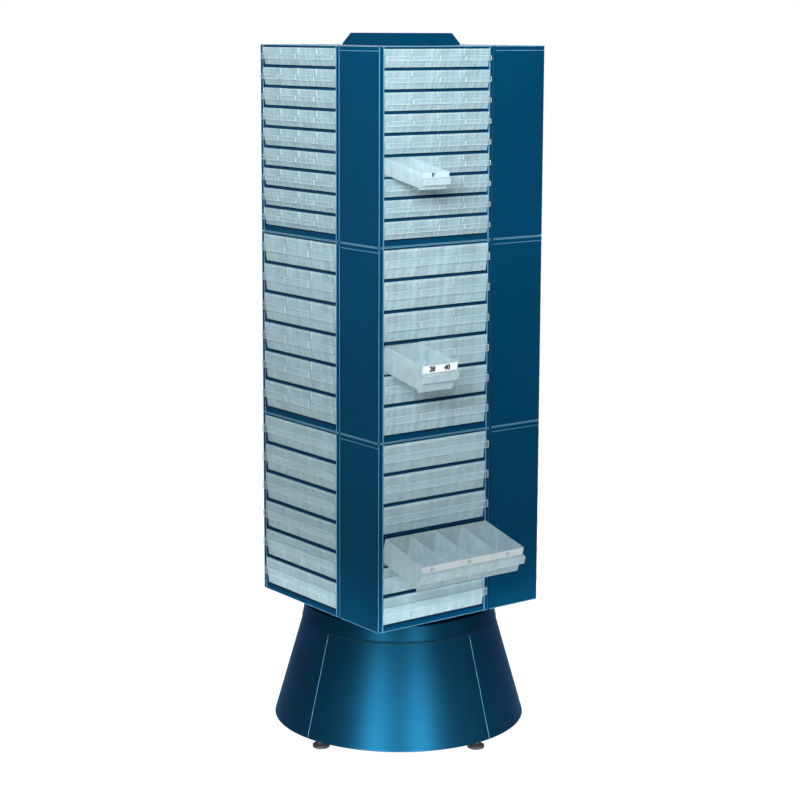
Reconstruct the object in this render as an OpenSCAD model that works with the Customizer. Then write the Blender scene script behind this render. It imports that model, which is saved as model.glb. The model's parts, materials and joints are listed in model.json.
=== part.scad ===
// Revolving storage tower: three levels of four drawer cabinets turning on a conical base.
// Z is the turning axis, the floor is at z = 0, and the open drawers face -Y.

/* [Cabinets] */
// Width of one cabinet across its front
cabinet_w = 306; // [300:1:320]
// Depth of one cabinet's steel body
cabinet_d = 143; // [140:1:150]
// Height of one cabinet
cabinet_h = 416.5; // [410:0.5:425]
// Thickness of the cabinets' sheet steel
sheet_t = 1; // [0.8:0.1:1.2]
// Radius of the bends along the upright front edges
edge_r = 3; // [2:0.5:4]
// Width of the steel beside the drawers
jamb_w = 13; // [12:0.5:15]
// Height of the steel above the drawers
top_rail_h = 4; // [3:0.5:8]
// Height of the steel below the drawers
bottom_rail_h = 9.5; // [8:0.5:14]
// How far the top cover's lip comes down
cover_lip_h = 10; // [8:0.5:12]
// Gap between a cabinet's side and its neighbour's back
side_gap = 1; // [1:0.5:2]
// Thickness of the washers between two levels
level_gap = 1.5; // [1:0.5:3]

/* [Drawers] */
// Depth of a drawer's tub
drawer_d = 134; // [130:1:136]
// Wall of a drawer
wall = 1.5; // [1.2:0.1:2]
// How far a drawer comes out before it stops
travel = 126; // [100:1:126]
// Share of a row's height taken by the label band
band_share = 0.27; // [0.22:0.01:0.3]
// How far the pull lip stands out from the band
lip_out = 8.5; // [7:0.5:11]
// Height of a shelf's front lip above the shelf
shelf_lip_h = 3; // [2:0.5:3]
// Depth of the glide under the back of a drawer
glide_d = 5; // [4:0.5:6]

/* [Base] */
// Radius of the base at the skirt's lower edge
skirt_low_r = 287.5; // [270:0.5:300]
// Radius of the base at the skirt's upper edge
skirt_top_r = 223; // [215:0.5:230]
// Height of the skirt's lower edge above the floor
skirt_low_z = 30; // [26:1:34]
// Height of the skirt's upper edge above the floor
skirt_top_z = 255.5; // [250:0.5:265]
// Thickness of the skirt panels
skirt_t = 1.2; // [1:0.1:2]
// Turn of the base's seams from the cabinets' faces, in degrees
base_turn = 8; // [0:1:20]
// Distance of the feet's axes from the skirt's lower edge
foot_in = 41.5; // [38:0.5:52]
// Radius of a foot's pad
foot_r = 19; // [16:0.5:22]
// Height of the collar's upper edge above the floor
collar_top_z = 297; // [294:0.5:300]

/* [Turntable and column] */
// Underside of the lowest cabinets above the floor
cabinets_z = 308; // [306:0.5:312]
// Distance of the balls' circle from the rim of the base's top plate
race_in = 62; // [45:1:85]
// Radius of one ball
ball_r = 3; // [2.5:0.5:3]
// Outer radius of the central column
column_r = 30; // [25:1:36]
// Height of the cap above the cabinets
cap_h = 26.5; // [22:0.5:30]
// How far the cap reaches past each side of the well
cap_over = 11; // [8:0.5:16]
// How far each side of the cap leans in
cap_lean = 13; // [10:1:16]

/* [Hidden] */
$fn = 64;
// How far a cut runs past the surface that it opens
over = 1;
// Radial play of a pin in its hole, play between pieces that touch, play between sheets, room to pass
fit = 0.05;
snug = 0.1;
play = 0.2;
slack = 0.3;

LEVELS = ["bottom", "middle", "top"];
SIDES = ["front", "right", "back", "left"];
ROWS = [6, 6, 9];
COLUMNS = [1, 3, 4];
SIZES = ["wide", "medium", "small"];
// Height of the tub's underside above its shelf, and how far the open drawer droops at its stop
RISE = [11.5, 11.5, 9];
DROOP = [14.2, 10.5, 9.8];
// The three drawers that stand open, as level, side, row from the top, column from the left
OPEN = [[0, 0, 4, 0], [1, 0, 4, 0], [2, 0, 6, 0]];
// The closed drawers that slide by themselves
SLIDING = [
  [0, 0, 1, 0], [0, 0, 2, 0], [0, 0, 3, 0], [0, 0, 6, 0], [0, 3, 4, 0],
  [1, 0, 4, 1], [1, 0, 4, 2],
  [2, 0, 6, 1], [2, 0, 6, 2], [2, 0, 6, 3], [2, 3, 6, 3]
];

tower_side = cabinet_w + cabinet_d + side_gap;
well_half = tower_side / 2 - cabinet_d;
cap_side = 2 * (well_half + cap_over);
level_h = cabinet_h + level_gap;
stack_top_z = cabinets_z + 3 * level_h - level_gap;
opening_w = cabinet_w - 2 * jamb_w;
jamb_return = 12;
shelf_front_y = sheet_t + play;
shelf_back_y = cabinet_d - sheet_t - play;
washer_inset = 14;
level_washer_r = 8;

// Play beside a drawer of each size, and height of its pull lip
SIDE_PLAY = [1, 0.4, 0.4];
LIP_H = [18, 18, 13];
rim_gap = 0.6;
lip_t = 1.8;
lip_slope = 3;
lip_root = 1;
front_y = -slack;
band_lean = 1.5;
band_step = 1;
band_foot = 4;
front_taper = 5;
apron_gap = 2;
ear = 3;
glide_y = drawer_d - glide_d;
glide_inset = 3;
divider_t = 1.2;
divider_drop = 3;

skirt_slope = (skirt_low_r - skirt_top_r) / (skirt_top_z - skirt_low_z);
foot_ring_r = skirt_low_r - foot_in;
seam_gap = 0.8;
strip_w = 30;
strip_t = 2;
// The flat strip clears the round panel by the rise of an arc as wide as itself
strip_gap = slack + strip_w * strip_w / 8 / skirt_top_r;
hoop_h = 24;
hoop_up = 5;
hoop_t = 2.5;
collar_gap = 3;
collar_out = 0.5;
collar_in = 5;
collar_t = 1.5;
collar_bend = 6;
collar_low_z = skirt_top_z + collar_gap;
collar_low_r = skirt_top_r + collar_out;
collar_top_r = skirt_top_r - collar_in;
collar_flange_w = 12;
roll_r = 1.4;
plate_t = 4;
plate_gap = 5;
plate_r = collar_top_r - collar_bend - plate_gap;
plate_top_z = collar_top_z - collar_t;
arm_w = 40;
arm_h = 30;
arm_t = 2;
arm_low_z = 42;
arm_gap = 2;
hub_r = 45;
hub_t = 3;
hub_weld_r = hub_r - hub_t / 2;
gusset_t = 4;
gusset_h = 90;
gusset_foot = 10;
gusset_tip_h = 12;
gusset_end_r = plate_r - collar_flange_w;
boss_r = 12;
boss_over = 2;
stem_r = 6;
stem_chamfer = 1.5;
stem_top_z = 80;
pad_h = 8;
pad_edge = 1;
pad_slope_w = 3;
pad_slope_h = 2;
neck_w = 4;
neck_h = 3;
spanner_r = 10;
spanner_h = 7;

race_r = plate_r - race_in;
race_w = 30;
race_t = 4;
race_gap = 1;
ball_count = 24;
ball_z = plate_top_z + race_t + race_gap / 2;
carrier_t = cabinets_z - plate_top_z - 2 * race_t - race_gap;
carrier_in = 2;
carrier_r = plate_r - carrier_in;
pivot_r = 8;
pivot_head_r = 13;
pivot_head_h = 8;
pivot_over = 4;
washer_r = 16;
washer_t = 1.5;
nut_h = 8;
flange_r = 60;
flange_t = 4;
tube_t = 2.5;
bracket_t = 2;
bracket_flange_h = 25;
bracket_flange_w = 120;
bracket_shares = [0.2, 0.8];
screw_r = 3;
screw_head_r = 5.5;
screw_head_h = 4;
screw_spread = 45;
screw_up = 15;
cap_t = 1.5;
cap_rim_h = 3.3;

function cabinet_name(k, s) = str("cabinet_", LEVELS[k], "_", SIDES[s]);
function drawer_name(p) = str(
  SIZES[p[0]], "_drawer_", SIDES[p[1]], "_", p[2], COLUMNS[p[0]] > 1 ? str("_", p[3] + 1) : "");
function row_h(k) = (cabinet_h - top_rail_h - bottom_rail_h) / ROWS[k];
function row_z(k, r) = bottom_rail_h + (ROWS[k] - r) * row_h(k);
function rim_z(k) = row_h(k) - sheet_t - rim_gap;
function band_low_z(k) = rim_z(k) - band_share * row_h(k);
function column_w(k) = opening_w / COLUMNS[k];
function drawer_w(k) = column_w(k) - 2 * SIDE_PLAY[k];
function skirt_r(z) = skirt_low_r - skirt_slope * (z - skirt_low_z);

module on_side(s) rotate(90 * s) translate([-tower_side / 2, -tower_side / 2, 0]) children();
module at_level(k) translate([0, 0, cabinets_z + k * level_h]) children();
module on_base(i) rotate(base_turn + 90 * i) children();

// Moves from a drawer's own corner, on its shelf at the front plane, to its place in the tower
module in_place(p)
  on_side(p[1]) at_level(p[0])
    translate([jamb_w + (p[3] + 0.5) * column_w(p[0]) - drawer_w(p[0]) / 2, 0, row_z(p[0], p[2])])
      children();

// Extrudes a side view, drawn as depth and height, from x = from to x = to
module across(from, to) translate([from, 0, 0]) rotate([90, 0, 90]) linear_extrude(to - from) children();

// Base

module foot_place(i) on_base(i) translate([foot_ring_r, 0, 0]) children();

module arm() difference() {
  end_r = skirt_r(arm_low_z + arm_h) - skirt_t - arm_gap;
  translate([0, -arm_w / 2, arm_low_z]) cube([end_r, arm_w, arm_h]);
  translate([0, arm_t - arm_w / 2, arm_low_z + arm_t])
    cube([end_r + over, arm_w - 2 * arm_t, arm_h - 2 * arm_t]);
  translate([0, 0, arm_low_z - over]) cylinder(r = hub_weld_r, h = arm_h + 2 * over);
  translate([foot_ring_r, 0, arm_low_z - over])
    cylinder(r = (stem_r + boss_r) / 2, h = arm_h + 2 * over);
}

module gusset() translate([0, gusset_t / 2, plate_top_z - plate_t]) rotate([90, 0, 0])
  linear_extrude(gusset_t) polygon([
    [hub_weld_r, 0], [hub_weld_r, -gusset_h], [hub_r + gusset_foot, -gusset_h],
    [gusset_end_r, -gusset_tip_h], [gusset_end_r, 0]
  ]);

// The welded frame: a hub tube, four arms with threaded bosses for the feet, and a gusset over each arm
module base_frame() color("#20506e") {
  hub_low_z = arm_low_z - boss_over;
  translate([0, 0, hub_low_z]) difference() {
    cylinder(r = hub_r, h = plate_top_z - plate_t - hub_low_z);
    translate([0, 0, -over]) cylinder(r = hub_r - hub_t, h = plate_top_z);
  }
  for (i = [0:3]) {
    on_base(i) arm();
    on_base(i) gusset();
    foot_place(i) translate([0, 0, arm_low_z - boss_over]) difference() {
      cylinder(r = boss_r, h = arm_h + 2 * boss_over);
      translate([0, 0, -over]) cylinder(r = stem_r + fit, h = arm_h + 2 * boss_over + 2 * over);
    }
  }
}

module base_top_plate() color("#20506e")
  translate([0, 0, plate_top_z - plate_t]) difference() {
    cylinder(r = plate_r, h = plate_t, $fn = 96);
    translate([0, 0, -over]) cylinder(r = pivot_r, h = plate_t + 2 * over);
  }

// The hoop backs the tops of the skirt panels and the foot of the collar
module base_hoop() color("#20506e")
  rotate_extrude($fn = 96) {
    low_z = skirt_top_z + hoop_up - hoop_h;
    low_r = skirt_r(low_z) - skirt_t - snug;
    knee_r = skirt_top_r - skirt_t - snug;
    top_r = collar_low_r - collar_t / 2 - roll_r - slack;
    polygon([
      [low_r - hoop_t, low_z], [low_r, low_z], [knee_r, skirt_top_z], [top_r, skirt_top_z + hoop_up],
      [top_r - hoop_t, skirt_top_z + hoop_up], [knee_r - hoop_t, skirt_top_z]
    ]);
  }

module skirt_panel(i) color("#17618c")
  on_base(i) rotate(asin(seam_gap / 2 / skirt_low_r))
    rotate_extrude(angle = 90 - 2 * asin(seam_gap / 2 / skirt_low_r), $fn = 128) polygon([
      [skirt_low_r - skirt_t, skirt_low_z], [skirt_low_r, skirt_low_z],
      [skirt_top_r, skirt_top_z], [skirt_top_r - skirt_t, skirt_top_z]
    ]);

// A flat strip behind each seam, from its arm up to the hoop, joins two panels
module seam_strips() color("#20506e") {
  low_z = arm_low_z + arm_h;
  top_z = skirt_top_z + hoop_up - hoop_h - slack;
  low_r = skirt_r(low_z) - skirt_t - strip_gap;
  top_r = skirt_r(top_z) - skirt_t - strip_gap;
  for (i = [0:3]) on_base(i) translate([0, strip_w / 2, 0]) rotate([90, 0, 0])
    linear_extrude(strip_w) polygon([
      [low_r, low_z], [top_r, top_z], [top_r - strip_t, top_z], [low_r - strip_t, low_z]
    ]);
}

module levelling_foot(i) color("#151515")
  foot_place(i - 1) {
    rotate_extrude() polygon([
      [0, 0], [foot_r - pad_edge, 0], [foot_r, pad_edge], [foot_r, pad_h - pad_slope_h],
      [foot_r - pad_slope_w, pad_h], [stem_r + neck_w, pad_h + neck_h], [stem_r, pad_h + neck_h],
      [stem_r, stem_top_z - stem_chamfer], [stem_r - stem_chamfer, stem_top_z], [0, stem_top_z]
    ]);
    // Hexagon for the spanner
    translate([0, 0, pad_h + neck_h]) cylinder(r = spanner_r, h = spanner_h, $fn = 6);
  }

// Section of the collar's outside, or of its inside when taken in by its thickness
module collar_section(t) {
  flange_in_r = plate_r - collar_flange_w - t;
  bend_z = collar_top_z - collar_bend;
  polygon([
    [flange_in_r, collar_low_z - t], [collar_low_r - t, collar_low_z - t],
    [collar_top_r - t, bend_z], [flange_in_r, bend_z]
  ]);
  translate([flange_in_r, bend_z - over])
    square([collar_top_r - collar_bend - flange_in_r, collar_bend + over - t]);
  translate([collar_top_r - collar_bend, bend_z]) circle(r = collar_bend - t);
}

// The collar leans inwards, lies on the top plate's rim and ends below in a rolled edge
module collar_ring() color("#17618c")
  rotate_extrude($fn = 128) {
    difference() {
      collar_section(0);
      collar_section(collar_t);
    }
    translate([collar_low_r - collar_t / 2, collar_low_z + roll_r / 2]) circle(r = roll_r, $fn = 24);
  }

module race(z) translate([0, 0, z]) difference() {
  cylinder(r = race_r + race_w / 2, h = race_t, $fn = 96);
  translate([0, 0, -over]) cylinder(r = race_r - race_w / 2, h = race_t + 2 * over, $fn = 96);
  rotate_extrude($fn = 96) translate([race_r, ball_z - z]) circle(r = ball_r + fit);
}

module lower_race() color("silver") race(plate_top_z);

module bearing_balls() color("gainsboro")
  for (i = [0:ball_count - 1])
    rotate(360 / ball_count * i) translate([race_r, 0, ball_z]) sphere(r = ball_r, $fn = 24);

// The bolt, its washer and its nut hold the tower down on the bearing
module pivot_bolt() color("silver") {
  plate_low_z = plate_top_z - plate_t;
  seat_z = cabinets_z + slack;
  translate([0, 0, plate_low_z - pivot_head_h]) cylinder(r = pivot_head_r, h = pivot_head_h, $fn = 6);
  translate([0, 0, plate_low_z])
    cylinder(r = pivot_r, h = seat_z + washer_t + nut_h + pivot_over - plate_low_z);
  translate([0, 0, seat_z]) difference() {
    cylinder(r = washer_r, h = washer_t);
    translate([0, 0, -over]) cylinder(r = pivot_r, h = washer_t + 2 * over);
  }
  translate([0, 0, seat_z + washer_t]) difference() {
    cylinder(r = pivot_head_r, h = nut_h, $fn = 6);
    translate([0, 0, -over]) cylinder(r = pivot_r, h = nut_h + 2 * over);
  }
}

// Turning structure

module upper_race() color("silver") race(plate_top_z + race_t + race_gap);

module carrier_plate() color("#20506e")
  translate([0, 0, cabinets_z - carrier_t]) difference() {
    cylinder(r = carrier_r, h = carrier_t, $fn = 96);
    translate([0, 0, -over]) cylinder(r = pivot_r + fit, h = carrier_t + 2 * over);
  }

module column_tube() color("#20506e")
  difference() {
    union() {
      translate([0, 0, cabinets_z]) cylinder(r = flange_r, h = flange_t);
      translate([0, 0, cabinets_z]) cylinder(r = column_r, h = stack_top_z - cabinets_z);
      translate([0, 0, stack_top_z - flange_t]) cylinder(r = flange_r, h = flange_t);
    }
    translate([0, 0, cabinets_z - over])
      cylinder(r = column_r - tube_t, h = stack_top_z - cabinets_z + 2 * over);
  }

module at_brackets() for (k = [0:2], share = bracket_shares)
  translate([0, 0, cabinets_z + k * level_h + share * cabinet_h]) children();

module column_brackets() color("#20506e") {
  half = well_half - snug;
  at_brackets() difference() {
    union() {
      translate([-half, -half, 0]) cube([2 * half, 2 * half, bracket_t]);
      for (s = [0:3]) rotate(90 * s)
        translate([-bracket_flange_w / 2, -half, 0]) cube([bracket_flange_w, bracket_t, bracket_flange_h]);
    }
    translate([0, 0, -over]) cylinder(r = column_r, h = bracket_t + 2 * over);
    for (s = [0:3], x = [-screw_spread, screw_spread]) rotate(90 * s)
      translate([x, -half - over, screw_up]) rotate([-90, 0, 0])
        cylinder(r = screw_r, h = bracket_t + 2 * over, $fn = 24);
  }
}

module bracket_screws() color("silver")
  at_brackets() for (s = [0:3], x = [-screw_spread, screw_spread]) rotate(90 * s)
    translate([x, -well_half - sheet_t, screw_up]) rotate([-90, 0, 0]) {
      grip = sheet_t + snug + bracket_t;
      cylinder(r = screw_r, h = grip, $fn = 24);
      translate([0, 0, grip]) cylinder(r = screw_head_r, h = screw_head_h, $fn = 6);
    }

module level_washers() color("#303030")
  for (k = [0, 1], s = [0:3], x = [washer_inset, cabinet_w - washer_inset],
       y = [washer_inset, cabinet_d - washer_inset])
    on_side(s) at_level(k) translate([x, y, cabinet_h])
      cylinder(r = level_washer_r, h = level_gap, $fn = 24);

// Two crossed trapezoids give the cap's block with its bevelled sides
module cap_block(side, lean, rim_h, h) {
  module side_view() translate([0, side / 2, 0]) rotate([90, 0, 0]) linear_extrude(side) polygon([
    [-side / 2, 0], [side / 2, 0], [side / 2, rim_h], [side / 2 - lean, h],
    [lean - side / 2, h], [-side / 2, rim_h]
  ]);
  intersection() {
    side_view();
    rotate(90) side_view();
  }
}

// The cap is a folded lid over the well between the cabinets
module top_cap() color("#1a6a94")
  translate([0, 0, stack_top_z]) difference() {
    cap_block(cap_side, cap_lean, cap_rim_h, cap_h);
    translate([0, 0, -over])
      cap_block(cap_side - 2 * cap_t, cap_lean, cap_rim_h - cap_t / 2 + over, cap_h - cap_t + over);
  }

// Cabinets

// Plan of a cabinet with its bent front corners, or of its inside when taken in by the sheet
module footprint(inset) {
  translate([edge_r, inset]) square([cabinet_w - 2 * edge_r, cabinet_d - 2 * inset]);
  translate([inset, edge_r]) square([cabinet_w - 2 * inset, cabinet_d - edge_r - inset]);
  for (x = [edge_r, cabinet_w - edge_r]) translate([x, edge_r]) circle(r = edge_r - inset);
}

// Walls of a cabinet in plan: open at the front between two jambs that turn back inwards
module shell_plan() difference() {
  footprint(0);
  difference() {
    footprint(sheet_t);
    for (x = [jamb_w - sheet_t, cabinet_w - jamb_w]) translate([x, 0]) square([sheet_t, jamb_return]);
  }
  translate([jamb_w, -over]) square([opening_w, jamb_return + 2 * over]);
}

module cabinet(k, s) color("#10567f")
  on_side(s) at_level(k) difference() {
    union() {
      linear_extrude(cabinet_h - cover_lip_h - play) shell_plan();
      linear_extrude(sheet_t) footprint(0);
      translate([jamb_w - sheet_t, 0, 0]) cube([opening_w + 2 * sheet_t, sheet_t, bottom_rail_h]);
    }
    for (share = bracket_shares, x = [-screw_spread, screw_spread])
      translate([tower_side / 2 + x, cabinet_d - sheet_t - over, share * cabinet_h + screw_up])
        rotate([-90, 0, 0]) cylinder(r = screw_r, h = sheet_t + 2 * over, $fn = 24);
  }

// A folded lid closes each cabinet; its front lip is the steel above the drawers
module cabinet_covers() color("#10567f")
  for (k = [0:2], s = [0:3]) on_side(s) at_level(k) translate([0, 0, cabinet_h - cover_lip_h])
    difference() {
      linear_extrude(cover_lip_h) footprint(0);
      translate([0, 0, -sheet_t]) linear_extrude(cover_lip_h) footprint(sheet_t);
      translate([jamb_w, -over, -over])
        cube([opening_w, sheet_t + 2 * over, cover_lip_h - top_rail_h + over]);
    }

module shelf() {
  translate([sheet_t + play, jamb_return + play, -sheet_t])
    cube([cabinet_w - 2 * sheet_t - 2 * play, shelf_back_y - jamb_return - play, sheet_t]);
  translate([jamb_w + play, shelf_front_y, -sheet_t])
    cube([opening_w - 2 * play, jamb_return + over, sheet_t]);
  translate([jamb_w + play, shelf_front_y, -sheet_t])
    cube([opening_w - 2 * play, sheet_t, sheet_t + shelf_lip_h]);
}

module shelves(k) color("#0d4566")
  for (s = [0:3], r = [1:ROWS[k]]) on_side(s) at_level(k) translate([0, 0, row_z(k, r)]) shelf();

// Drawers, drawn in their own frame: x across, y from the front plane inwards, z up from the shelf

module lip_view(k, back) {
  top = band_low_z(k);
  out = front_y - lip_out;
  polygon([
    [back, top + lip_root], [front_y - band_lean, top], [out, top - lip_slope], [out, top - LIP_H[k]],
    [out + lip_t, top - LIP_H[k]], [out + lip_t, top - lip_slope - lip_t], [back, top - lip_t - lip_root / 2]
  ]);
}

// The band leans out to the lip; below it the front tapers in and hangs down in front of the tub's floor
module tub_view(k) {
  apron_z = shelf_lip_h + apron_gap;
  polygon([
    [front_y, rim_z(k)], [front_y - band_lean, band_low_z(k)], [front_y, band_low_z(k) - band_step],
    [front_y, band_low_z(k) - band_foot], [front_taper, apron_z], [front_taper + wall, apron_z],
    [front_taper + wall, RISE[k]], [drawer_d, RISE[k]], [drawer_d, rim_z(k)]
  ]);
}

module inside_view(k, inset, top) polygon([
  [front_y + wall + inset, top], [front_y + wall + inset, band_low_z(k) - band_foot],
  [front_taper + wall + inset, RISE[k] + wall + inset],
  [drawer_d - wall - inset, RISE[k] + wall + inset], [drawer_d - wall - inset, top]
]);

module tub(k) {
  w = drawer_w(k);
  difference() {
    union() {
      across(0, w) tub_view(k);
      across(0, w) lip_view(k, front_y + wall / 2);
      if (k == 0) across(-ear, w + ear) lip_view(k, front_y);
    }
    across(wall, w - wall) inside_view(k, 0, row_h(k));
  }
}

// Full-width drawers hold three loose dividers
module dividers(k) if (k == 0)
  for (i = [1:3]) across(drawer_w(k) / 4 * i - divider_t / 2, drawer_w(k) / 4 * i + divider_t / 2)
    inside_view(k, snug, rim_z(k) - divider_drop);

module glide(k, top)
  translate([glide_inset, glide_y, slack]) cube([drawer_w(k) - 2 * glide_inset, glide_d, top - slack]);

module closed_drawer(k) {
  union() {
    tub(k);
    glide(k, RISE[k] + wall / 2);
  }
  dividers(k);
}

module closed_drawers(k) color("#bcd3d8")
  for (s = [0:3], r = [1:ROWS[k]], c = [0:COLUMNS[k] - 1])
    if (len([for (p = concat(OPEN, SLIDING)) if (p == [k, s, r, c]) 1]) == 0)
      in_place([k, s, r, c]) closed_drawer(k);

module sliding_drawer(p) color("#bcd3d8") in_place(p) closed_drawer(p[0]);

// An open drawer stands at its stop and droops about the front edge of its glide
module open_drawer(p) color("#bcd3d8") in_place(p)
  translate([0, glide_y - travel, RISE[p[0]]]) rotate([DROOP[p[0]], 0, 0])
    translate([0, -glide_y, -RISE[p[0]]]) {
      tub(p[0]);
      dividers(p[0]);
    }

module open_glide(p) color("#a8bfc4") in_place(p)
  translate([0, -travel, 0]) glide(p[0], RISE[p[0]] - slack);

base_frame();
base_top_plate();
base_hoop();
for (i = [1:4]) skirt_panel(i);
seam_strips();
collar_ring();
lower_race();
bearing_balls();
pivot_bolt();
for (i = [1:4]) levelling_foot(i);
upper_race();
carrier_plate();
column_tube();
column_brackets();
bracket_screws();
level_washers();
cabinet_covers();
top_cap();
for (k = [0:2], s = [0:3]) cabinet(k, s);
for (k = [0:2]) shelves(k);
for (k = [0:2]) closed_drawers(k);
for (p = OPEN) open_drawer(p);
for (p = OPEN) open_glide(p);
for (p = SLIDING) sliding_drawer(p);
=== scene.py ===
import json
import math

import bmesh
import bpy
from mathutils import Matrix, Vector

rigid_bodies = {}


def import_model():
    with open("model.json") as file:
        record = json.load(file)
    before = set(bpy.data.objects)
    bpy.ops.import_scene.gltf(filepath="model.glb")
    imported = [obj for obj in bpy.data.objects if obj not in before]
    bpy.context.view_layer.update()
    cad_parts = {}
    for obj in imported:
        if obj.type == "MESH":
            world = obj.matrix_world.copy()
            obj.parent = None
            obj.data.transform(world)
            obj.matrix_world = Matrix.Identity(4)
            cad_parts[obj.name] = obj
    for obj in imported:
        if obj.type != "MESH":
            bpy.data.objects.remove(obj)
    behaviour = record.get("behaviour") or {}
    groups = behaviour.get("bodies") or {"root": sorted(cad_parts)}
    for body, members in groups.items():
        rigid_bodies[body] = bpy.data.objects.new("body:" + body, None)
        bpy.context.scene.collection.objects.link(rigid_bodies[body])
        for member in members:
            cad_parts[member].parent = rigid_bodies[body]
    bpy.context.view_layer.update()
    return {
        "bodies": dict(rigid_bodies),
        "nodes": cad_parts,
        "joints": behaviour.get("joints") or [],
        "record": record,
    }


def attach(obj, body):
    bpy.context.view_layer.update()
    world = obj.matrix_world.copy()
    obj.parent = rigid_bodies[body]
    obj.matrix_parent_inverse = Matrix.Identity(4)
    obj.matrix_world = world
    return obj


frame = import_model()
print("frame loaded:", len(frame["nodes"]), "nodes")

mm = 0.001
levels = ["bottom", "middle", "top"]
sides = ["front", "right", "back", "left"]
sizeNames = ["wide", "medium", "small"]

# the tower's sizes that the dressed pieces share, in millimetres
tower = {
    "side": 450, "cabinetW": 306, "cabinetD": 143, "cabinetH": 416.5, "levelH": 418, "lowZ": 308,
    "jamb": 13, "topRail": 4, "bottomRail": 9.5, "lidLip": 10, "bend": 3,
    "rows": [6, 6, 9], "columns": [1, 3, 4],
}
openingW = tower["cabinetW"] - 2 * tower["jamb"]


def rowHeight(level):
    return (tower["cabinetH"] - tower["topRail"] - tower["bottomRail"]) / tower["rows"][level]


def cabinetBase(level):
    return tower["lowZ"] + level * tower["levelH"]


def rowBase(level, row):
    return cabinetBase(level) + tower["bottomRail"] + (tower["rows"][level] - row) * rowHeight(level)


def onSide(side, x, y, z):
    # from a cabinet's own frame, x along its front and y inwards, to the tower's frame
    half = tower["side"] / 2
    return Matrix.Rotation(math.radians(90 * side), 3, "Z") @ Vector((x - half, y - half, z))


# shader helpers


class Wire:
    # wraps a socket so that maths on it adds Math nodes
    def __init__(self, maker, socket):
        self.maker, self.socket = maker, socket

    def joined(self, operation, first, second):
        return self.maker.make("ShaderNodeMath", {"operation": operation}, {0: first, 1: second})

    def __add__(self, other):
        return self.joined("ADD", self, other)

    def __mul__(self, other):
        return self.joined("MULTIPLY", self, other)

    def __sub__(self, other):
        return self.joined("SUBTRACT", self, other)

    def __rsub__(self, other):
        return self.joined("SUBTRACT", other, self)

    __radd__ = __add__
    __rmul__ = __mul__

    def size(self):
        return self.joined("ABSOLUTE", self, 0)

    def most(self, other):
        return self.joined("MAXIMUM", self, other)

    def over(self, limit):
        return self.joined("GREATER_THAN", self, limit)

    def clamped(self):
        return self.maker.make("ShaderNodeClamp", {}, {"Value": self}, "Result")


class Finish:
    # one material with a Principled shader, and the one method that adds any other node
    def __init__(self, name, **fixed):
        self.material = bpy.data.materials.new(name)
        self.material.use_nodes = True
        self.tree = self.material.node_tree
        self.shader = self.tree.nodes["Principled BSDF"]
        for socket, value in fixed.items():
            self.shader.inputs[socket.replace("_", " ")].default_value = value

    def make(self, kind, settings, values, output=0):
        node = self.tree.nodes.new(kind)
        for key, value in settings.items():
            setattr(node, key, value)
        for key, value in values.items():
            self.feed(node.inputs[key], value)
        return Wire(self, node.outputs[output])

    def feed(self, socket, value):
        if isinstance(value, Wire):
            self.tree.links.new(value.socket, socket)
        else:
            socket.default_value = value

    def surface(self, name, value):
        self.feed(self.shader.inputs[name], value)

    def place(self):
        return self.make("ShaderNodeTexCoord", {}, {}, "Object")

    def axis(self, place, name):
        return self.make("ShaderNodeSeparateXYZ", {}, {0: place}, name)

    def noise(self, place, scale, detail=2.0, rough=0.5):
        values = {"Vector": place, "Scale": scale, "Detail": detail, "Roughness": rough}
        return self.make("ShaderNodeTexNoise", {}, values)

    def lines(self, along, scale, detail=1.0):
        values = {"W": along, "Scale": scale, "Detail": detail}
        return self.make("ShaderNodeTexNoise", {"noise_dimensions": "1D"}, values)

    def mixed(self, factor, first, second):
        # the Mix node's colour sockets are 6 and 7, and its colour output is 2
        return self.make("ShaderNodeMix", {"data_type": "RGBA"}, {0: factor, 6: first, 7: second}, 2)

    def bump(self, height, strength, depth):
        values = {"Height": height, "Strength": strength, "Distance": depth}
        self.surface("Normal", self.make("ShaderNodeBump", {}, values, "Normal"))


def linear(red, green, blue):
    # a colour given as 0 to 255 screen values
    def one(value):
        value = value / 255
        return value / 12.92 if value <= 0.04045 else ((value + 0.055) / 1.055) ** 2.4
    return (one(red), one(green), one(blue), 1.0)


noiseMiddle = 0.5  # a noise texture's mean

# painted steel: a satin powder coat with a fine orange peel and slow changes of tone; the base's is metallic,
# and the two light blues for the bends and hems are painted highlights

paints = {
    "cabinetPaint": {"tone": (2, 64, 96), "shade": (0, 55, 85), "roughness": 0.6, "gloss": 0.02},
    "shelfPaint": {"tone": (2, 60, 96), "shade": (0, 48, 80), "roughness": 0.55, "gloss": 0.04},
    # painted highlights: light blues that stand in for the light caught by bent corners, hems, edges and
    # seams
    "paintedBendHighlight": {"tone": (82, 140, 174), "shade": (62, 118, 154), "roughness": 0.4, "gloss": 0.2},
    "paintedHemHighlight": {"tone": (96, 148, 176), "shade": (72, 124, 154), "roughness": 0.4, "gloss": 0.2},
    "basePaint": {
        "tone": (6, 40, 58), "shade": (5, 34, 50), "roughness": 0.43, "gloss": 0.1, "metal": 0.8,
        "glint": (30, 180, 215)},
    "framePaint": {"tone": (12, 40, 58), "shade": (8, 32, 48), "roughness": 0.6, "gloss": 0.1},
}
peel = {
    "scale": 1100, "strength": 0.3, "depth": 0.00005, "share": 0.3, "cloudScale": 3, "darkest": 0.3,
    "contrast": 2.5, "unevenness": 0.12,
}


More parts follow.
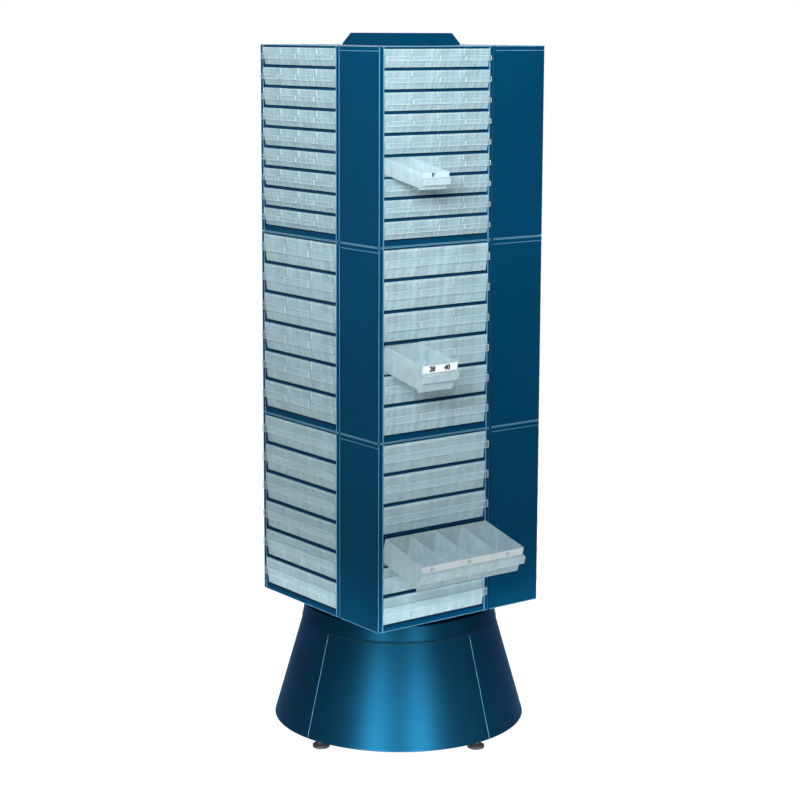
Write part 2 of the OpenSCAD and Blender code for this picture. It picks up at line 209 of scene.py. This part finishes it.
def steelPaint(name, tone, shade, roughness, gloss, metal=0, glint=(255, 255, 255)):
    finish = Finish(name, Specular_IOR_Level=gloss, Specular_Tint=linear(*glint), Metallic=metal)
    place = finish.place()
    cloud = finish.noise(place, peel["cloudScale"], detail=3.0)
    speck = finish.noise(place, peel["scale"], rough=0.6)
    both = cloud * (1 - peel["share"]) + speck * peel["share"]
    mask = (both - peel["darkest"]) * peel["contrast"]
    finish.surface("Base Color", finish.mixed(mask.clamped(), linear(*shade), linear(*tone)))
    finish.surface("Roughness", (cloud - noiseMiddle) * peel["unevenness"] + roughness)
    finish.bump(speck, peel["strength"], peel["depth"])
    return finish.material


paint = {name: steelPaint(name, **values) for name, values in paints.items()}

# clear moulded plastic, slightly milky, with painted upright light and dark lines in place of the inner walls
# seen refracted through it and of edges catching light

plastics = {
    "widePlastic": {
        "tone": (210, 244, 252), "shade": (184, 216, 225), "alpha": 0.5, "lipLoss": 0.38,
        "lineScale": 50, "lineShare": 0.5},
    "mediumPlastic": {
        "tone": (210, 244, 252), "shade": (176, 208, 218), "alpha": 0.5, "lipLoss": 0.38,
        "lineScale": 80, "lineShare": 0.6},
    "smallPlastic": {
        "tone": (206, 240, 249), "shade": (164, 196, 206), "alpha": 0.5, "lipLoss": 0.38,
        "lineScale": 120, "lineShare": 0.6},
    "openPlastic": {
        "tone": (216, 241, 248), "shade": (188, 214, 222), "alpha": 0.42, "lineScale": 60, "lineShare": 0.3},
    "ribPlastic": {
        "tone": (222, 240, 246), "shade": (182, 208, 216), "alpha": 0.5, "lineScale": 300, "lineShare": 0.6},
    # a painted highlight for the light lines along the drawers' edges
    "edgeHighlightPlastic": {
        "tone": (232, 243, 247), "shade": (196, 216, 224), "alpha": 0.6, "lineScale": 60, "lineShare": 0.5},
    "bandFilm": {
        "tone": (238, 244, 246), "shade": (220, 231, 235), "alpha": 0.75, "lineScale": 60, "lineShare": 0.3},
}
milk = {
    "cloudScale": 22, "lineContrast": 2.5, "clouding": 0.2, "roughness": 0.18, "unevenness": 0.08,
    "strength": 0.1, "depth": 0.0004, "lipStart": 0.8,
}


def clearPlastic(name, tone, shade, alpha, lineScale, lineShare, lipLoss=0):
    # a pull lip that stands out of the tower's square at rest may be clearer than the walls
    finish = Finish(name, Specular_IOR_Level=0.5)
    place = finish.place()
    eastward, northward = finish.axis(place, "X"), finish.axis(place, "Y")
    lip = eastward.size().most(northward.size()).over(mm * (tower["side"] / 2 + milk["lipStart"]))
    # painted reflections: upright light and dark lines in the tone, standing in for refracted inner walls and
    # edges catching light
    lines = finish.lines(eastward + northward, lineScale)
    lines = ((lines - noiseMiddle) * milk["lineContrast"] + noiseMiddle).clamped()
    cloud = finish.noise(place, milk["cloudScale"], detail=3.0, rough=0.6)
    mask = lines * lineShare + cloud * (1 - lineShare)
    finish.surface("Base Color", finish.mixed(mask.clamped(), linear(*shade), linear(*tone)))
    finish.surface("Alpha", ((cloud - noiseMiddle) * milk["clouding"] + alpha - lip * lipLoss).clamped())
    finish.surface("Roughness", cloud * milk["unevenness"] + milk["roughness"])
    finish.bump(cloud, milk["strength"], milk["depth"])
    return finish.material


plastic = {name: clearPlastic(name, **values) for name, values in plastics.items()}

# plain finishes: metal, rubber, card and ink, each a grain between two tones

plains = {
    "zinc": {"tones": ((150, 156, 160), (205, 208, 210)), "grain": 400, "roughness": 0.35, "metal": 1},
    "footRubber": {"tones": ((5, 6, 7), (16, 18, 20)), "grain": 600, "roughness": 0.7, "metal": 0},
    "whiteCard": {"tones": ((234, 238, 240), (250, 252, 253)), "grain": 500, "roughness": 0.7, "metal": 0},
    "blueCard": {"tones": ((172, 204, 236), (192, 220, 246)), "grain": 500, "roughness": 0.7, "metal": 0},
    "darkInk": {"tones": ((14, 18, 22), (36, 42, 48)), "grain": 900, "roughness": 0.6, "metal": 0},
    "greyInk": {"tones": ((92, 106, 114), (112, 126, 134)), "grain": 900, "roughness": 0.6, "metal": 0},
}
grainRelief = {"strength": 0.25, "depth": 0.0001}


def plainFinish(name, tones, grain, roughness, metal):
    finish = Finish(name, Metallic=metal, Roughness=roughness)
    speck = finish.noise(finish.place(), grain, detail=3.0)
    dark, light = tones
    finish.surface("Base Color", finish.mixed(speck, linear(*dark), linear(*light)))
    finish.bump(speck, **grainRelief)
    return finish.material


plain = {name: plainFinish(name, **values) for name, values in plains.items()}


def dress(node, material):
    data = frame["nodes"][node].data
    data.materials.clear()
    data.materials.append(material)


for name in frame["nodes"]:
    if name.startswith(("cabinet_", "top_cap")):
        dress(name, paint["cabinetPaint"])
    elif name.endswith("_shelves"):
        dress(name, paint["shelfPaint"])
    elif name.startswith(("skirt_", "collar_")):
        dress(name, paint["basePaint"])
    elif name.endswith(("_open", "_glide")):
        dress(name, plastic["openPlastic"])
    elif "drawer" in name:
        dress(name, plastic[name.split("_")[0] + "Plastic"])
    elif name.startswith(("levelling_", "level_washers")):
        dress(name, plain["footRubber"])
    elif "race" in name or name in ("bearing_balls", "pivot_bolt", "bracket_screws"):
        dress(name, plain["zinc"])
    else:
        dress(name, paint["framePaint"])
print("finishes: paints, plastics, metal, rubber, card, ink")

# geometry trees: rows of blocks or posts on points


def newObject(name, data):
    body = bpy.data.objects.new(name, data)
    bpy.context.scene.collection.objects.link(body)
    return body


class NodeTree:
    # a geometry tree with named inputs, and the one method that adds a node
    def __init__(self, name, inputs):
        self.tree = bpy.data.node_groups.new(name, "GeometryNodeTree")
        face = self.tree.interface
        face.new_socket("Geometry", in_out="INPUT", socket_type="NodeSocketGeometry")
        face.new_socket("Geometry", in_out="OUTPUT", socket_type="NodeSocketGeometry")
        for label, kind in inputs.items():
            face.new_socket(label, in_out="INPUT", socket_type="NodeSocket" + kind)
        self.given = self.tree.nodes.new("NodeGroupInput").outputs
        self.end = self.tree.nodes.new("NodeGroupOutput")

    def make(self, kind, settings, values):
        node = self.tree.nodes.new(kind)
        for key, value in settings.items():
            setattr(node, key, value)
        for key, value in values.items():
            if isinstance(value, bpy.types.NodeSocket):
                self.tree.links.new(value, node.inputs[key])
            else:
                node.inputs[key].default_value = value
        return node.outputs[0]

    def finish(self, geometry):
        real = self.make("GeometryNodeRealizeInstances", {}, {0: geometry})
        final = self.make("GeometryNodeSetMaterial", {}, {"Geometry": real, "Material": self.given["Finish"]})
        self.tree.links.new(final, self.end.inputs[0])
        return self.tree


def rowTree(name, sizes, kind, settings, values):
    # a row of one shape, or several rows side by side, on each point, turned as the point says
    inputs = {"Count": "Int", "Start": "Vector", "Step": "Vector", "Rows": "Int", "Across": "Vector"}
    maker = NodeTree(name, {**inputs, **sizes, "Finish": "Material"})
    given = maker.given
    fed = {key: given[label] if isinstance(label, str) else label for key, label in values.items()}
    shape = maker.make(kind, settings, fed)
    line = maker.make("GeometryNodeMeshLine", {"mode": "OFFSET"}, {
        "Count": given["Count"], "Start Location": given["Start"], "Offset": given["Step"]})
    row = maker.make("GeometryNodeInstanceOnPoints", {}, {"Points": line, "Instance": shape})
    side = maker.make("GeometryNodeMeshLine", {"mode": "OFFSET"}, {
        "Count": given["Rows"], "Offset": given["Across"]})
    rows = maker.make("GeometryNodeInstanceOnPoints", {}, {"Points": side, "Instance": row})
    turn = maker.make("GeometryNodeInputNamedAttribute", {"data_type": "FLOAT_VECTOR"}, {"Name": "turn"})
    placed = maker.make("GeometryNodeInstanceOnPoints", {}, {
        "Points": given["Geometry"], "Instance": rows, "Rotation": turn})
    return maker.finish(placed)


blockRows = rowTree("blockRows", {"Block": "Vector"}, "GeometryNodeMeshCube", {}, {"Size": "Block"})
postRows = rowTree(
    "postRows", {"Radius": "Float", "Tall": "Float"}, "GeometryNodeMeshCylinder", {"fill_type": "NGON"},
    {"Vertices": 40, "Radius": "Radius", "Depth": "Tall"})


def rowsOn(name, tree, spots, material, **values):
    # runs a tree on spots, each a place in millimetres and a turn in radians, and gives a plain mesh
    mesh = bpy.data.meshes.new(name)
    mesh.from_pydata([spot for spot, turn in spots], [], [])
    turns = mesh.attributes.new("turn", "FLOAT_VECTOR", "POINT")
    for index, (spot, turn) in enumerate(spots):
        turns.data[index].vector = turn
    source = newObject(name + "Points", mesh)
    modifier = source.modifiers.new("rows", "NODES")
    modifier.node_group = tree
    sockets = {item.name: item.identifier for item in tree.interface.items_tree if item.in_out == "INPUT"}
    for key, value in {"Rows": 1, **values}.items():
        modifier[sockets[key]] = [float(part) for part in value] if isinstance(value, tuple) else value
    modifier[sockets["Finish"]] = material
    graph = bpy.context.evaluated_depsgraph_get()
    result = bpy.data.meshes.new_from_object(source.evaluated_get(graph), depsgraph=graph)
    bpy.data.objects.remove(source)
    if result.materials[0] is None:
        result.materials.pop(index=0)
    result.name = name
    return result


def ridingPiece(name, mesh, place, body):
    mesh.transform(place)
    for face in mesh.polygons:
        face.use_smooth = False
    piece = newObject(name, mesh)
    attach(piece, body)


def asOneMesh(name, meshes):
    # one mesh from several, each face keeping its material
    whole = bmesh.new()
    result = bpy.data.meshes.new(name)
    for mesh in meshes:
        own = mesh.materials[0]
        if own.name not in result.materials:
            result.materials.append(own)
        start = len(whole.faces)
        whole.from_mesh(mesh)
        whole.faces.ensure_lookup_table()
        for face in whole.faces[start:]:
            face.material_index = result.materials.find(own.name)
        bpy.data.meshes.remove(mesh)
    whole.to_mesh(result)
    whole.free()
    return result


inMetres = Matrix.Scale(mm, 4)

# the drawers' ribs, and light edges that are painted highlights

drawer = {
    "depth": 134, "wall": 1.5, "face": -0.3, "lean": 1.5, "bandShare": 0.27, "lipOut": 8.5, "lipSlope": 3,
    "lipH": [18, 18, 13], "rise": [11.5, 11.5, 9], "play": [1, 0.4, 0.4], "ear": [3, 0, 0],
    "glideD": 5, "travel": 126, "droop": [14.2, 10.5, 9.8], "rimGap": 1.6,
}
openDrawers = [(0, 0, 4, 0), (1, 0, 4, 0), (2, 0, 6, 0)]
slidingDrawers = [
    (0, 0, 1, 0), (0, 0, 2, 0), (0, 0, 3, 0), (0, 0, 6, 0), (0, 3, 4, 0), (1, 0, 4, 1), (1, 0, 4, 2),
    (2, 0, 6, 1), (2, 0, 6, 2), (2, 0, 6, 3), (2, 3, 6, 3),
]


def drawerWidth(level):
    return openingW / tower["columns"][level] - 2 * drawer["play"][level]


def rimHeight(level):
    return rowHeight(level) - drawer["rimGap"]


def bandFoot(level):
    return rimHeight(level) - drawer["bandShare"] * rowHeight(level)


def drawerName(level, side, row, column):
    name = f"{sizeNames[level]}_drawer_{sides[side]}_{row}"
    return f"{name}_{column + 1}" if tower["columns"][level] > 1 else name


def drawerCorner(level, side, row, column):
    middle = tower["jamb"] + (column + 0.5) * openingW / tower["columns"][level]
    return onSide(side, middle - drawerWidth(level) / 2, 0, rowBase(level, row))


def drawerPlace(level, side, row, column, opened=False):
    # from a drawer's own frame to its place in the tower, in metres
    place = inMetres @ Matrix.Translation(drawerCorner(level, side, row, column))
    place = place @ Matrix.Rotation(math.radians(90 * side), 4, "Z")
    if opened:
        hingeY = drawer["depth"] - drawer["glideD"]
        rise = drawer["rise"][level]
        place = place @ Matrix.Translation((0, hingeY - drawer["travel"], rise))
        place = place @ Matrix.Rotation(math.radians(drawer["droop"][level]), 4, "X")
        place = place @ Matrix.Translation((0, -hingeY, -rise))
    return place


def closedSpots(level):
    apart = openDrawers + slidingDrawers
    spots = []
    for side in range(len(sides)):
        for row in range(1, tower["rows"][level] + 1):
            for column in range(tower["columns"][level]):
                if (level, side, row, column) not in apart:
                    corner = drawerCorner(level, side, row, column)
                    spots.append((corner, (0, 0, math.radians(90 * side))))
    return spots


ribs = {"deep": 0.9, "wide": 1.1, "endGap": 13, "pitch": [17, 13, 10], "count": [7, 9, 12], "topGap": 2}
edges = {"thick": 0.9, "proud": 0.08, "dividers": 3, "dividerWide": 2.2}
atOwnPlace = [((0, 0, 0), (0, 0, 0))]


def drawerRibs(level, spots, deep, wide, endGap, pitch, count, topGap):
    # upright ribs on the inside of both side walls
    low = drawer["rise"][level] + drawer["wall"]
    tall = rimHeight(level) - topGap - low
    across = drawerWidth(level) - 2 * drawer["wall"] - deep
    return [rowsOn(
        "ribs", blockRows, spots, plastic["ribPlastic"], Count=count[level],
        Start=(drawer["wall"] + deep / 2, endGap, low + tall / 2), Step=(0, pitch[level], 0),
        Rows=2, Across=(across, 0, 0), Block=(deep, wide, tall))]


def drawerEdgeHighlights(level, spots, thick, proud, dividers, dividerWide):
    # painted highlights: light lines on the edges of the pull lip, at the band's ends and, on the wide
    # drawers, at the dividers, in place of the light that the clear plastic's edges catch
    width, foot, ear = drawerWidth(level), bandFoot(level), drawer["ear"][level]
    lipY = drawer["face"] - drawer["lipOut"] + thick / 2 - proud
    lipTop, lipLow = foot - drawer["lipSlope"], foot - drawer["lipH"][level]
    bandY, inset = drawer["face"] - drawer["lean"] / 2, thick / 2 - proud
    bars = [
        {"Count": 2, "Start": (width / 2, lipY, lipTop), "Step": (0, 0, lipLow - lipTop + thick / 2),
         "Block": (width + 2 * ear, thick, thick)},
        {"Count": 2, "Start": (inset - ear, lipY, (lipTop + lipLow) / 2),
         "Step": (width - 2 * (inset - ear), 0, 0), "Block": (thick, thick, lipTop - lipLow)},
        {"Count": 2, "Start": (inset, bandY, (foot + rimHeight(level)) / 2),
         "Step": (width - 2 * inset, 0, 0), "Block": (thick, thick, rimHeight(level) - foot)},
    ]
    if level == 0:
        low, rim = drawer["rise"][level], rimHeight(level)
        bars.append({
            "Count": dividers, "Start": (width / (dividers + 1), drawer["wall"] + thick / 2, (low + rim) / 2),
            "Step": (width / (dividers + 1), 0, 0), "Block": (dividerWide, thick, rim - low)})
    return [rowsOn("edges", blockRows, spots, plastic["edgeHighlightPlastic"], **values) for values in bars]


def drawerRibsAndHighlights(name, level, spots, place, body):
    mesh = asOneMesh(name, drawerRibs(level, spots, **ribs) + drawerEdgeHighlights(level, spots, **edges))
    ridingPiece(name, mesh, place, body)


for level, size in enumerate(sizeNames):
    drawerRibsAndHighlights(size + "ClosedRibsAndHighlights", level, closedSpots(level), inMetres, "tower")
for key in openDrawers + slidingDrawers:
    name = drawerName(*key)
    place = drawerPlace(*key, opened=key in openDrawers)
    drawerRibsAndHighlights(name + "RibsAndHighlights", key[0], atOwnPlace, place, name)
print("ribs and edges on", len(openDrawers + slidingDrawers), "sliding drawers and three closed groups")

# painted highlights on the cabinets: thin light lines along the bent edges, the hem of each lid and the
# jambs; and the dark guides on the shelves

highlightAndGuideSizes = {
    "line": 1.5, "hem": 1.3, "jambLine": 2.8, "proud": 0.2, "post": 1.2,
    "tabW": 4, "tabDeep": 1.2, "tabTall": 1.8, "tabY": 1.8, "shelfLip": 3,
}


def cabinetSpots():
    spots = []
    for level in range(len(levels)):
        for side in range(len(sides)):
            spots.append((onSide(side, 0, 0, cabinetBase(level)), (0, 0, math.radians(90 * side))))
    return spots


def shelfSpots(level):
    spots = []
    for side in range(len(sides)):
        for row in range(1, tower["rows"][level] + 1):
            corner = onSide(side, tower["jamb"], 0, rowBase(level, row))
            spots.append((corner, (0, 0, math.radians(90 * side))))
    return spots


def cabinetHighlightsAndGuides(line, hem, jambLine, proud, post, tabW, tabDeep, tabTall, tabY, shelfLip):
    width, deep, tall = tower["cabinetW"], tower["cabinetD"], tower["cabinetH"]
    bend, spots = tower["bend"], cabinetSpots()
    inset = line / 2 - proud
    # light bars that paint the highlights on the lids' hems, the cabinets' top and bottom edges and the
    # jambs' inner edges
    bars = {
        "sideHemHighlights": {
            "Count": 1, "Start": (inset, deep / 2, tall - tower["lidLip"]),
            "Block": (line, deep - 2 * bend, hem)},
        "sideEdgeHighlights": {
            "Count": 2, "Start": (inset, deep / 2, inset), "Step": (0, 0, tall - 2 * inset),
            "Block": (line, deep - 2 * bend, line)},
        "frontEdgeHighlights": {
            "Count": 2, "Start": (width / 2, inset, inset), "Step": (0, 0, tall - 2 * inset),
            "Block": (width - 2 * bend, line, line)},
        "jambEdgeHighlights": {
            "Count": 2, "Start": (tower["jamb"] - jambLine / 2, line - proud, tall / 2),
            "Step": (openingW + jambLine, 0, 0),
            "Block": (jambLine, 2 * line, tall - 2 * line)},
    }
    parts = []
    for name, values in bars.items():
        parts.append(rowsOn(name, blockRows, spots, paint["paintedHemHighlight"], **values))
    # light posts in the front corners paint the highlight that each bend catches
    corner = bend - (bend + proud - post) * math.sqrt(0.5)
    parts.append(rowsOn(
        "bends", postRows, spots, paint["paintedBendHighlight"], Count=2, Start=(corner, corner, tall / 2),
        Step=(width - 2 * corner, 0, 0), Radius=post, Tall=tall - 2 * line))
    for level in range(len(levels)):
        columns = tower["columns"][level]
        if columns > 1:
            parts.append(rowsOn(
                "guides", blockRows, shelfSpots(level), paint["shelfPaint"], Count=columns - 1,
                Start=(openingW / columns, tabY, shelfLip + tabTall / 2), Step=(openingW / columns, 0, 0),
                Block=(tabW, tabDeep, tabTall)))
    ridingPiece("cabinetHighlightsAndGuides", asOneMesh("cabinetHighlightsAndGuides", parts), inMetres, "tower")


cabinetHighlightsAndGuides(**highlightAndGuideSizes)

seams = {"lowR": 287.5, "topR": 223, "lowZ": 30, "topZ": 255.5, "turn": 8, "line": 0.8, "inset": 0.25}


def skirtSeamHighlights(lowR, topR, lowZ, topZ, turn, line, inset):
    # a painted highlight: a light bar in each seam of the skirt, in place of the light that its folded edge
    # catches
    tilt = math.atan((lowR - topR) / (topZ - lowZ))
    radius, height = (lowR + topR) / 2 - inset, (lowZ + topZ) / 2
    long = math.hypot(lowR - topR, topZ - lowZ) - 2 * line
    spots = []
    for side in range(len(sides)):
        angle = math.radians(turn + 90 * side)
        spots.append(((radius * math.cos(angle), radius * math.sin(angle), height), (0, -tilt, angle)))
    mesh = rowsOn("skirtSeamHighlights", blockRows, spots, paint["paintedBendHighlight"], Count=1, Block=(line, line, long))
    ridingPiece("skirtSeamHighlights", mesh, inMetres, "base")


skirtSeamHighlights(**seams)
print("light edges on the cabinets and the skirt, guides on the shelves")

# label cards in the bands of the open drawers, with plain numbers

cards = {
    "wide": {
        "card": "bandFilm", "ink": "greyInk", "size": 10, "bold": 0.03, "margin": 1.5,
        "numbers": {"21": 0.1, "22": 0.46, "23": 0.84}},
    "medium": {
        "card": "whiteCard", "ink": "darkInk", "size": 14.5, "bold": 0.06, "margin": 1.2,
        "numbers": {"28": 0.28, "40": 0.7}},
    "small": {
        "card": "blueCard", "ink": "darkInk", "size": 10, "bold": 0.08, "margin": 0.9,
        "numbers": {"36": 0.42}},
}
cardThick = 0.3
inkThick = 0.075
cornerSteps = 5


def bandPlace(level):
    # the band's own plane in the drawer's frame: x across, y up along the band, z outwards
    rim, foot = rimHeight(level), bandFoot(level)
    across = Vector((1, 0, 0))
    up = Vector((0, drawer["lean"], rim - foot)).normalized()
    turn = Matrix((across, up, across.cross(up))).transposed().to_4x4()
    return Matrix.Translation((0, drawer["face"] - drawer["lean"] / 2, (rim + foot) / 2)) @ turn


def roundedPlate(name, width, height, corner, thick, material):
    outline = []
    for quarter, (x, y) in enumerate(((1, 1), (-1, 1), (-1, -1), (1, -1))):
        centre = (x * (width / 2 - corner), y * (height / 2 - corner))
        for step in range(cornerSteps + 1):
            angle = math.radians(90 * (quarter + step / cornerSteps))
            outline.append((centre[0] + corner * math.cos(angle), centre[1] + corner * math.sin(angle)))
    plate = bmesh.new()
    face = plate.faces.new([plate.verts.new((x, y, 0)) for x, y in outline])
    top = bmesh.ops.extrude_face_region(plate, geom=[face])["geom"]
    topVerts = [part for part in top if isinstance(part, bmesh.types.BMVert)]
    bmesh.ops.translate(plate, verts=topVerts, vec=(0, 0, thick))
    bmesh.ops.recalc_face_normals(plate, faces=plate.faces)
    mesh = bpy.data.meshes.new(name)
    plate.to_mesh(mesh)
    plate.free()
    mesh.materials.append(material)
    return mesh


def numberMesh(text, size, bold, material):
    words = bpy.data.curves.new("number", "FONT")
    words.body, words.size, words.offset = text, size, bold * size
    words.align_x, words.align_y = "CENTER", "CENTER"
    words.extrude = inkThick
    source = newObject("number", words)
    graph = bpy.context.evaluated_depsgraph_get()
    mesh = bpy.data.meshes.new_from_object(source.evaluated_get(graph), depsgraph=graph)
    bpy.data.objects.remove(source)
    mesh.materials.clear()
    mesh.materials.append(material)
    return mesh


def labelCard(level, card, ink, size, bold, margin, numbers):
    key = openDrawers[level]
    width, height = drawerWidth(level), rimHeight(level) - bandFoot(level)
    place = drawerPlace(*key, opened=True) @ bandPlace(level)
    material = plastic[card] if card in plastic else plain[card]
    plate = roundedPlate(
        sizeNames[level] + "Card", width - 2 * margin, height - 2 * margin, margin, cardThick, material)
    parts = []
    for text, share in numbers.items():
        mesh = numberMesh(text, size, bold, plain[ink])
        mesh.transform(Matrix.Translation((width * share, 0, 2 * cardThick)))
        parts.append(mesh)
    name = drawerName(*key)
    middle = place @ Matrix.Translation((width / 2, 0, cardThick / 2))
    ridingPiece(name + "Card", plate, middle, name)
    ridingPiece(name + "Numbers", asOneMesh(name + "Numbers", parts), place, name)


for level, size in enumerate(sizeNames):
    labelCard(level, **cards[size])
print("label cards with plain numbers")

# camera

camera = {
    "azimuth": -36.95, "elevation": 9.2, "roll": 0.21, "distance": 4.4838, "lens": 1977.8,
    "targetZ": 0.8831, "shiftY": -0.066, "frame": 800, "sensor": 36, "farthest": 60,
}


def addCamera(azimuth, elevation, roll, distance, lens, targetZ, shiftY, frame, sensor, farthest):
    # lens is in pixels, for a picture as wide as frame
    data = bpy.data.cameras.new("camera")
    body = newObject("camera", data)
    a, e = math.radians(azimuth), math.radians(elevation)
    back = Vector((math.sin(a) * math.cos(e), -math.cos(a) * math.cos(e), math.sin(e)))
    body.location = Vector((0, 0, targetZ)) + back * distance
    body.rotation_mode = "QUATERNION"
    aim = (-back).to_track_quat("-Z", "Y")
    body.rotation_quaternion = aim @ Matrix.Rotation(math.radians(roll), 3, "Z").to_quaternion()
    data.sensor_width = sensor
    data.lens = lens / frame * sensor
    data.shift_y = shiftY
    data.clip_end = farthest
    bpy.context.scene.camera = body


addCamera(**camera)

# floor, background and light

floor = {
    "size": 40, "drop": 0.0005, "tone": (244, 245, 246), "grain": 30, "roughness": 0.9,
    "seen": 0.6, "white": 1.4, "near": 0.5, "far": 2.6,
}
plainTone = (1, 1, 1, 1)


def addFloor(size, drop, tone, grain, roughness, seen, white, near, far):
    # the camera sees the floor partly as plain white, so that only the object's shadow is left on it
    mesh = bpy.data.meshes.new("floor")
    half = size / 2
    corners = [(-half, -half, 0), (half, -half, 0), (half, half, 0), (-half, half, 0)]
    mesh.from_pydata(corners, [], [(0, 1, 2, 3)])
    body = newObject("floor", mesh)
    finish = Finish("floorFinish", Roughness=roughness, Specular_IOR_Level=0)
    place = finish.place()
    finish.surface("Base Color", finish.mixed(finish.noise(place, grain), linear(*tone), plainTone))
    plainWhite = finish.make("ShaderNodeEmission", {}, {"Strength": white})
    clearWhite = finish.make("ShaderNodeEmission", {}, {"Strength": 1.0})
    distance = finish.make("ShaderNodeVectorMath", {"operation": "LENGTH"}, {0: place}, "Value")
    away = finish.make("ShaderNodeMapRange", {}, {"Value": distance, "From Min": near, "From Max": far})
    partWhite = finish.make("ShaderNodeMixShader", {}, {0: away, 1: plainWhite, 2: clearWhite})
    share = away * (1 - seen) + seen
    eye = finish.make("ShaderNodeLightPath", {}, {}, "Is Camera Ray")
    lit = Wire(finish, finish.shader.outputs[0])
    mixed = finish.make("ShaderNodeMixShader", {}, {0: eye * share, 1: lit, 2: partWhite})
    finish.feed(finish.tree.nodes["Material Output"].inputs["Surface"], mixed)
    mesh.materials.append(finish.material)
    body.location.z = -drop


addFloor(**floor)

lamps = {
    "key": {
        "place": (-2.15, -2.25, 2.05), "aim": (0, 0, 1.75), "size": 1.6, "tall": 0.55, "spread": 66,
        "power": 26},
    "lowLeft": {
        "place": (-2.6, -1.65, 0.3), "aim": (0, 0, 0.01), "size": 1.6, "tall": 0.3, "spread": 14,
        "power": 5.2},
    "lowRight": {
        "place": (-0.9, -2.95, 0.3), "aim": (0, 0, 0.01), "size": 1.6, "tall": 0.3, "spread": 14,
        "power": 5.2},
    "strip": {
        "place": (1.045, -1.85, 1.0), "aim": (-0.14, -0.22, 0.9), "size": 0.07, "tall": 1.7, "spread": 180,
        "power": 4.5},
    "back": {
        "place": (2.2, 2.8, 2.6), "aim": (0, 0, 0.9), "size": 2.0, "tall": 1.2, "spread": 120, "power": 40},
    "leftRim": {
        "place": (-0.75, 2.9, 0.8), "aim": (0, 0, 0.3), "size": 1.1, "tall": 1.2, "spread": 120, "power": 5},
    "rightRim": {
        "place": (3.0, 0.2, 0.8), "aim": (0, 0, 0.3), "size": 1.1, "tall": 1.2, "spread": 120, "power": 5},
}


def addLamp(name, place, aim, size, tall, spread, power):
    data = bpy.data.lights.new(name, "AREA")
    data.shape = "RECTANGLE"
    data.size, data.size_y = size, tall
    data.spread = math.radians(spread)
    data.energy = power
    body = newObject(name, data)
    body.location = place
    body.rotation_mode = "QUATERNION"
    body.rotation_quaternion = (Vector(aim) - Vector(place)).to_track_quat("-Z", "Y")


for name, values in lamps.items():
    addLamp(name, **values)

backdrop = {"fill": 0.16, "seen": 1.0}


def addWorld(fill, seen):
    # white where it is seen, directly or in a gloss, and a soft fill for the rest
    world = bpy.data.worlds.new("studio")
    bpy.context.scene.world = world
    world.use_nodes = True
    tree = world.node_tree
    background = tree.nodes["Background"]
    background.inputs["Color"].default_value = plainTone
    path = tree.nodes.new("ShaderNodeLightPath")
    total = path.outputs["Is Camera Ray"]
    for ray in ("Is Glossy Ray", "Is Transmission Ray"):
        greatest = tree.nodes.new("ShaderNodeMath")
        greatest.operation = "MAXIMUM"
        tree.links.new(total, greatest.inputs[0])
        tree.links.new(path.outputs[ray], greatest.inputs[1])
        total = greatest.outputs[0]
    strength = tree.nodes.new("ShaderNodeMapRange")
    strength.inputs["To Min"].default_value = fill
    strength.inputs["To Max"].default_value = seen
    tree.links.new(total, strength.inputs["Value"])
    tree.links.new(strength.outputs[0], background.inputs["Strength"])


addWorld(**backdrop)
bpy.context.scene.view_settings.view_transform = "Standard"
print("camera, floor and lamps placed")
